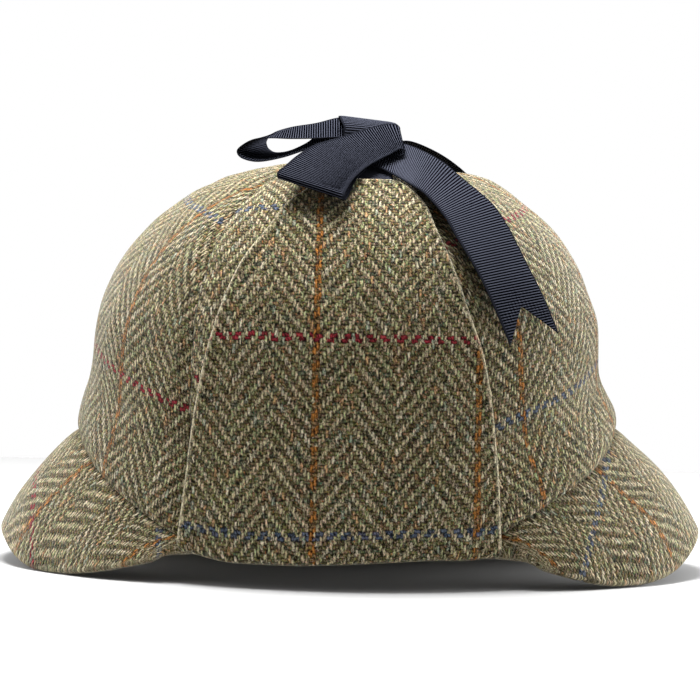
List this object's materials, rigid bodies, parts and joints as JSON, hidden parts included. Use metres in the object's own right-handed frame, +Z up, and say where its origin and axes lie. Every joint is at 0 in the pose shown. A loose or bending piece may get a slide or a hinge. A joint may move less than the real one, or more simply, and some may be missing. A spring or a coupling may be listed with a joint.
{
  "type": "deerstalker hat",
  "caption": "Soft tweed hat with a domed panelled crown, a peak in front and behind, and ear flaps folded up and tied over the top with a ribbon bow.",
  "frame": {"origin": "middle of the bounding box's base, on the surface that the hat rests on", "axes": "X along the head with the front peak at -X and the back peak at +X, the wearer's left at -Y, Z up"},
  "size_m": [0.275, 0.1782, 0.176],
  "materials": {
    "tweed": "wool tweed, olive and cream herringbone with a red, orange and blue windowpane check",
    "ribbon": "dark navy grosgrain ribbon, soft sheen"
  },
  "bodies": {
    "root": {"crown_back_left": "tweed", "crown_back_right": "tweed", "crown_front_left": "tweed", "crown_front_right": "tweed", "crown_side_left": "tweed", "crown_side_right": "tweed", "front_bill": "tweed", "back_bill": "tweed", "left_ear_flap": "tweed", "right_ear_flap": "tweed", "left_tie": "ribbon", "right_tie": "ribbon", "bow_knot": "ribbon", "bow_left_loop": "ribbon", "bow_right_loop": "ribbon", "bow_left_tail": "ribbon", "bow_right_tail": "ribbon"}
  },
  "joints": []
}
